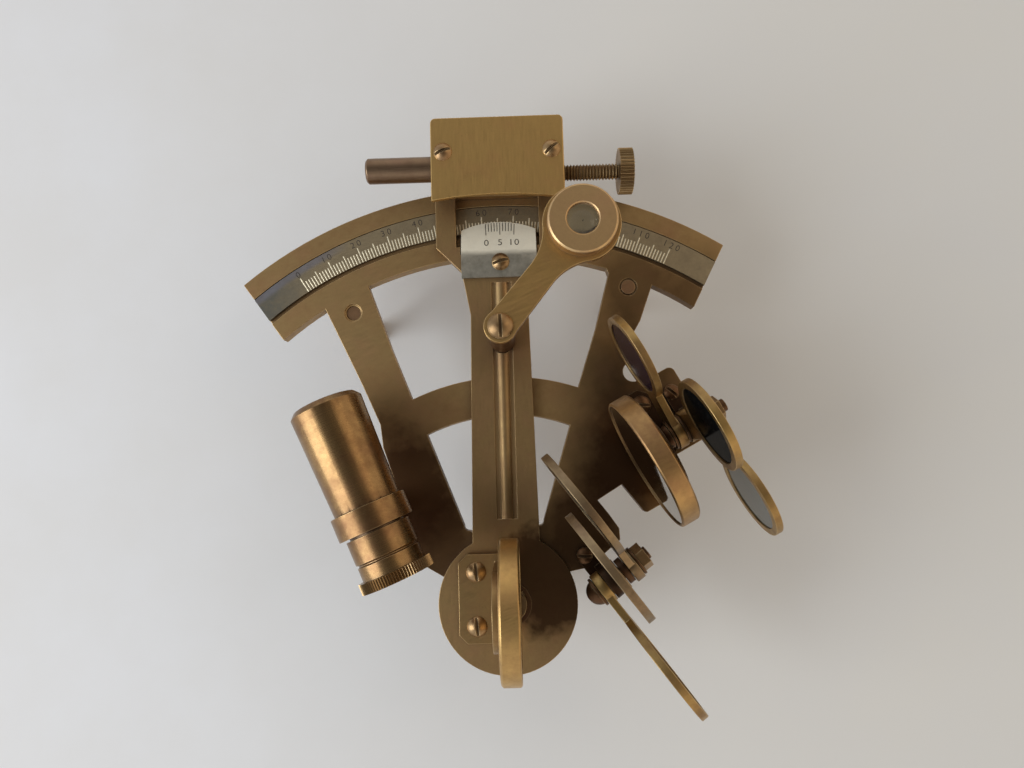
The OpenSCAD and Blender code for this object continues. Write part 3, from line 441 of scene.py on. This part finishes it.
def worked_mesh(node, width):
    """A copy of a CAD node's mesh, merged into clean faces, with every sharp edge rounded by width mm.

    A width of 0 keeps the edges, which the teeth of a knurl need.
    """
    work = bmesh.new()
    work.from_mesh(frame["nodes"][node].data)
    bmesh.ops.transform(work, matrix=Matrix.Scale(1 / MM, 4), verts=work.verts)
    bmesh.ops.remove_doubles(work, verts=work.verts, dist=WELD)
    bmesh.ops.dissolve_limit(work, angle_limit=FLAT, verts=work.verts, edges=work.edges, delimit={"NORMAL"})
    if width > 0:
        crisp = [e for e in work.edges if e.is_manifold and e.calc_face_angle() > SHARP]
        bmesh.ops.bevel(work, geom=crisp, offset=width, offset_type="OFFSET", segments=2, profile=0.5,
                        affect="EDGES", clamp_overlap=False)
        bmesh.ops.remove_doubles(work, verts=work.verts, dist=WELD)
    limit = KEPT_SHARP if width > 0 else KNURL_SHARP
    for face in work.faces:
        face.smooth = True
    for edge in work.edges:
        edge.smooth = edge.is_manifold and edge.calc_face_angle() < limit
    bmesh.ops.transform(work, matrix=Matrix.Scale(MM, 4), verts=work.verts)
    made = bpy.data.meshes.new(node + "_worked")
    work.to_mesh(made)
    work.free()
    if "custom_normal" in made.attributes:
        made.attributes.remove(made.attributes["custom_normal"])
    return made


def worked(node, material, width):
    """Stands a rounded copy in for a CAD node, riding on the node's body."""
    made = show(node + "_worked", worked_mesh(node, width))
    made.data.materials.append(MATERIALS[material])
    flat = made.modifiers.new("flat_faces", "WEIGHTED_NORMAL")
    flat.keep_sharp = True
    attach(made, NODE_BODY[node])
    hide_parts(node)


def painted(node, material):
    """Keeps a CAD node's own mesh and gives it a material."""
    slots = frame["nodes"][node].data.materials
    slots.clear()
    slots.append(MATERIALS[material])


# The material of each node and how far its edges are rounded, in mm.
WORKED = {
    "frame": ("plate", 0.12), "limb_feet": ("rivet", 0.1), "pivot_foot": ("rivet", 0.12),
    "arc_scale": ("scale", 0.04), "pivot_washer": ("dark", 0.03), "pivot_screw": ("screw", 0.06),
    "index_arm": ("arm", 0.10), "vernier_plate": ("vernier", 0.04), "vernier_screw": ("screw", 0.05),
    "tangent_housing": ("dark", 0.08), "cover_plate": ("cover", 0.22), "cover_screws": ("screw", 0.05),
    "spring_barrel": ("barrel", 0.08), "spring_plunger": ("steel", 0.05), "tangent_pad": ("dark", 0.05),
    "tangent_screw": ("knob", 0.0), "clamp_shoe": ("dark", 0.06), "clamp_screw": ("knob", 0.0),
    "magnifier_post": ("dark", 0.06), "magnifier_arm": ("bezel", 0.14), "magnifier_screw": ("screw", 0.06),
    "magnifier_bezel": ("lens_ring", 0.07), "index_mirror_bracket": ("mirror_back", 0.1),
    "index_mirror_bezel": ("bezel", 0.12), "index_mirror_glass": ("mirror", 0.1),
    "index_mirror_screws": ("screw", 0.06), "horizon_mirror_bracket": ("painted_shade_brass", 0.1),
    "horizon_mirror_bezel": ("rim", 0.12), "horizon_mirror_glass": ("mirror", 0.1),
    "horizon_mirror_screws": ("dark", 0.06), "index_shade_bracket": ("painted_shade_brass", 0.08),
    "horizon_shade_bracket": ("painted_shade_brass", 0.08), "shade_bracket_screws": ("dark", 0.05),
    "shade_pins": ("dark", 0.06), "shade_washers": ("dark", 0.05), "index_shade_spacer": ("dark", 0.05),
    "shade_nuts": ("screw", 0.08), "telescope_post": ("tube", 0.07), "telescope_nut": ("knob", 0.0),
    "telescope_tube": ("tube", 0.08), "eyepiece_sleeve": ("tube", 0.06), "eyepiece_ring": ("tube", 0.0),
    "index_shade_1": ("shade", 0.12), "horizon_shade_1": ("shade", 0.12),
    "index_shade_2": ("shade_darker", 0.12), "horizon_shade_2": ("shade", 0.12),
    "index_shade_3": ("shade_darker", 0.12), "horizon_shade_3": ("shade", 0.12),
}
PAINTED = {
    "tangent_spring": "steel", "magnifier_lens": "lens", "objective_lens": "lens", "eyepiece_lens": "lens",
    "index_glass_1": "shade_black", "index_glass_2": "shade_black", "index_glass_3": "shade_grey",
    "horizon_glass_1": "shade_violet", "horizon_glass_2": "shade_black", "horizon_glass_3": "shade_grey",
}
for node, (material, width) in WORKED.items():
    worked(node, material, width)
for node, material in PAINTED.items():
    painted(node, material)


# ---- engraved lines and numbers ----

# The font's size for a number's height, and how far its strokes are thinned.
LETTER_SIZE = 1.38
LETTER_THINNED = 0.012


def polar(radius, degrees, z):
    """A point about the index axis: degrees to the right of +Y, in metres."""
    turn = math.radians(degrees)
    return Vector((radius * math.sin(turn), radius * math.cos(turn), z))


def add_line(work, start, end, width, height):
    """A low ridge from start to end, which catches the light like a cut line."""
    along = (end - start).normalized()
    side = along.cross(Vector((0, 0, 1))) * (width / 2)
    rise = Vector((0, 0, height))
    foot = [work.verts.new(p) for p in (start - side, start + side, end + side, end - side)]
    top = [work.verts.new(p + rise) for p in (start, end)]
    for corners in ((foot[1], foot[2], top[1], top[0]), (foot[3], foot[0], top[0], top[1]),
                    (foot[0], foot[1], top[0]), (foot[2], foot[3], top[1]),
                    (foot[0], foot[3], foot[2], foot[1])):
        work.faces.new(corners)


def add_number(work, text, spot, degrees, height, lift, tilt=0.0, spread=1.12):
    """A flat number standing upright on the radius through spot, tilted with the face under it."""
    curve = bpy.data.curves.new("number", "FONT")
    curve.body = text
    curve.size = height * LETTER_SIZE
    curve.align_x = "CENTER"
    curve.align_y = "CENTER"
    curve.extrude = lift
    curve.offset = -height * LETTER_THINNED
    curve.space_character = spread
    shown = show("number", curve)
    bpy.context.view_layer.update()
    mesh = bpy.data.meshes.new_from_object(shown.evaluated_get(bpy.context.evaluated_depsgraph_get()))
    turn = Matrix.Rotation(math.radians(-degrees), 4, "Z") @ Matrix.Rotation(tilt, 4, "X")
    mesh.transform(Matrix.Translation(spot) @ turn)
    work.from_mesh(mesh)
    bpy.data.objects.remove(shown)
    bpy.data.curves.remove(curve)
    bpy.data.meshes.remove(mesh)


def engraving(name, work, material, body):
    """Makes a piece from the lines or numbers gathered in work."""
    mesh = bpy.data.meshes.new(name)
    work.to_mesh(mesh)
    work.free()
    mesh.materials.append(MATERIALS[material])
    made = show(name, mesh)
    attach(made, body)


SCALE_WIDTH = 5.25 * MM
scale_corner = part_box("arc_scale")[1]
SCALE_TOP = scale_corner.z
SCALE_IN = scale_corner.y - SCALE_WIDTH
UNIT = 0.487
ZERO = -29.2
LAST = 120
TICK_LENGTH = {10: 3.25 * MM, 5: 2.85 * MM, 1: 2.15 * MM}
TICK_START = 0.05 * MM
TICK_WIDTH = 0.24 * MM
TICK_HEIGHT = 0.035 * MM
NUMBER_PLACE = 4.05 * MM
NUMBER_HEIGHT = 1.3 * MM
NUMBER_LIFT = 0.012 * MM
NUMBER_SPREAD = 1.5


def scale_marks():
    """One line a unit, longer at each five and ten, and a number at each ten."""
    lines = bmesh.new()
    numbers = bmesh.new()
    for unit in range(LAST + 1):
        degrees = ZERO + unit * UNIT
        length = next(long for every, long in TICK_LENGTH.items() if unit % every == 0)
        start = polar(SCALE_IN + TICK_START, degrees, SCALE_TOP)
        end = polar(SCALE_IN + length, degrees, SCALE_TOP)
        add_line(lines, start, end, TICK_WIDTH, TICK_HEIGHT)
        if unit % 10 == 0:
            spot = polar(SCALE_IN + NUMBER_PLACE, degrees, SCALE_TOP)
            add_number(numbers, str(unit), spot, degrees, NUMBER_HEIGHT, NUMBER_LIFT, spread=NUMBER_SPREAD)
    engraving("scale_lines", lines, "tick", "frame_body")
    engraving("scale_numbers", numbers, "black", "frame_body")


ARM_TURN = math.degrees(math.atan2(ARM_ALONG[0], ARM_ALONG[1]))
FOLD_Y = 68.6 * MM
FOLD_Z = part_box("vernier_plate")[1].z
SLOPE = -2.35 / 6.9
SLOPE_LIFT = 0.006 * MM
EDGE_R = 75.3 * MM
EDGE_ROUND = 16.7 * MM
EDGE_SHIFT = 0.3 * MM
VERNIER_MARKS = 10
VERNIER_STEP = 0.445
VERNIER_LONG = 2.95 * MM
VERNIER_SHORT = 2.15 * MM
VERNIER_MARGIN = 0.15 * MM
VERNIER_WIDTH = 0.16 * MM
VERNIER_HEIGHT = 0.02 * MM
VERNIER_NUMBER_R = 70.55 * MM
VERNIER_NUMBER_HEIGHT = 1.5 * MM


def on_slope(radius, offset):
    """A point on the vernier's sloping face, offset degrees to the right of the arm's middle."""
    along = radius * math.cos(math.radians(offset))
    return polar(radius, ARM_TURN + offset, FOLD_Z + SLOPE * (along - FOLD_Y) + SLOPE_LIFT)


def edge_radius(offset):
    """Distance from the index axis to the vernier's rounded edge."""
    across = EDGE_R * math.radians(offset) + EDGE_SHIFT
    return EDGE_R - EDGE_ROUND + math.sqrt(EDGE_ROUND ** 2 - across ** 2)


def vernier_marks():
    """Ten divisions on the vernier's slope, with a number at each five."""
    lines = bmesh.new()
    numbers = bmesh.new()
    for mark in range(VERNIER_MARKS + 1):
        offset = (mark - VERNIER_MARKS / 2) * VERNIER_STEP
        inner = EDGE_R - (VERNIER_LONG if mark % 5 == 0 else VERNIER_SHORT)
        outer = edge_radius(offset) - VERNIER_MARGIN
        add_line(lines, on_slope(outer, offset), on_slope(inner, offset), VERNIER_WIDTH, VERNIER_HEIGHT)
        if mark % 5 == 0:
            add_number(numbers, str(mark), on_slope(VERNIER_NUMBER_R, offset), ARM_TURN,
                       VERNIER_NUMBER_HEIGHT, VERNIER_HEIGHT, math.atan(SLOPE))
    engraving("vernier_lines", lines, "black", "index_arm")
    engraving("vernier_numbers", numbers, "black", "index_arm")


scale_marks()
vernier_marks()


# ---- stage, light and camera ----

FLOOR_REACH = 8.0
MIDDLE = Vector((0, 0.035, 0.02))

# The room's brightness by height, where 0 is level and below and 1 overhead, and its colour at each side.
ROOM_LEVELS = ((0.0, 0.62), (0.45, 0.5), (0.72, 0.4), (0.86, 0.17), (1.0, 0.075))
ROOM_LEFT = (0.82, 0.90, 1.0)
ROOM_RIGHT = (1.0, 0.86, 0.70)
ROOM_TURNS_WARM = (-0.8, 0.6)
ROOM_STRENGTH = 1.6

LENS = 27.04
SENSOR = 36.0
CAMERA_PLACE = Vector((4.61, 26.63, 177.0)) * MM
PLUMB = Vector((0.014304, -0.101430, 1))
CAMERA_TURN = math.radians(-4.4)


def floor():
    floor_z = cad_box[0][2]
    corners = [(x * FLOOR_REACH, y * FLOOR_REACH, floor_z) for x, y in ((-1, -1), (1, -1), (1, 1), (-1, 1))]
    mesh = bpy.data.meshes.new("floor")
    mesh.from_pydata(corners, [], [(0, 1, 2, 3)])
    mesh.materials.append(paper("table"))
    show("floor", mesh)


def area_light(name, direction, distance, size, power, colour):
    """A rectangular light at a distance from the middle of the frame, facing it."""
    light = bpy.data.lights.new(name, "AREA")
    light.shape = "RECTANGLE"
    light.size, light.size_y = size
    light.energy = power
    light.color = colour
    way = Vector(direction).normalized()
    made = show(name, light)
    made.location = MIDDLE + way * distance
    made.rotation_euler = way.to_track_quat("Z", "Y").to_euler()


def ramp(g, value, stops):
    """A colour that runs through the stops, each a place from 0 to 1 and three numbers."""
    made = g.node("ShaderNodeValToRGB", {0: value})
    elements = made.color_ramp.elements
    for index, (place, colour) in enumerate(stops):
        stop = elements[index] if index < 2 else elements.new(place)
        stop.position = place
        stop.color = rgba(colour)
    return made.outputs[0]


def room():
    """A dim room: dark overhead, paler towards its walls, cool on the left and warm on the right."""
    world = bpy.data.worlds.new("room")
    g = Graph(world)
    way = g.node("ShaderNodeTexCoord").outputs["Generated"]
    levels = ramp(g, g.part(way, 2), [(place, (level, level, level)) for place, level in ROOM_LEVELS])
    side = ramp(g, g.fade(g.part(way, 0), *ROOM_TURNS_WARM), ((0.0, ROOM_LEFT), (1.0, ROOM_RIGHT)))
    tint = g.mix(1.0, levels, side, blend="MULTIPLY")
    background = g.node("ShaderNodeBackground", {0: tint, 1: ROOM_STRENGTH})
    g.node("ShaderNodeOutputWorld", {0: background.outputs[0]})
    bpy.context.scene.world = world


def camera():
    """Held above the sextant, tilted a few degrees, as the photograph was taken.

    PLUMB is the way straight down as the camera sees it: right, up and ahead.
    """
    data = bpy.data.cameras.new("camera")
    data.sensor_width = SENSOR
    data.lens = LENS
    data.clip_start = 0.01
    down = PLUMB.normalized()
    east = (Vector((1, 0, 0)) - down.x * down).normalized()
    north = down.cross(east)
    turn = Matrix.Rotation(CAMERA_TURN, 3, "Z")
    right, up, ahead = (turn @ Vector((east[i], north[i], -down[i])) for i in range(3))
    place = Matrix((right, up, -ahead)).transposed().to_4x4()
    place.translation = CAMERA_PLACE
    made = show("camera", data)
    made.matrix_world = place
    bpy.context.scene.camera = made


floor()
room()
area_light("window", direction=(-0.823, -0.2, 0.515), distance=0.75, size=(0.42, 0.6), power=3.2,
           colour=(0.93, 0.97, 1.0))
area_light("doorway", direction=(0.60, 0.25, 0.74), distance=0.8, size=(0.16, 0.4), power=0.17,
           colour=(1.0, 0.80, 0.58))
camera()
bpy.context.scene.view_settings.view_transform = "Standard"
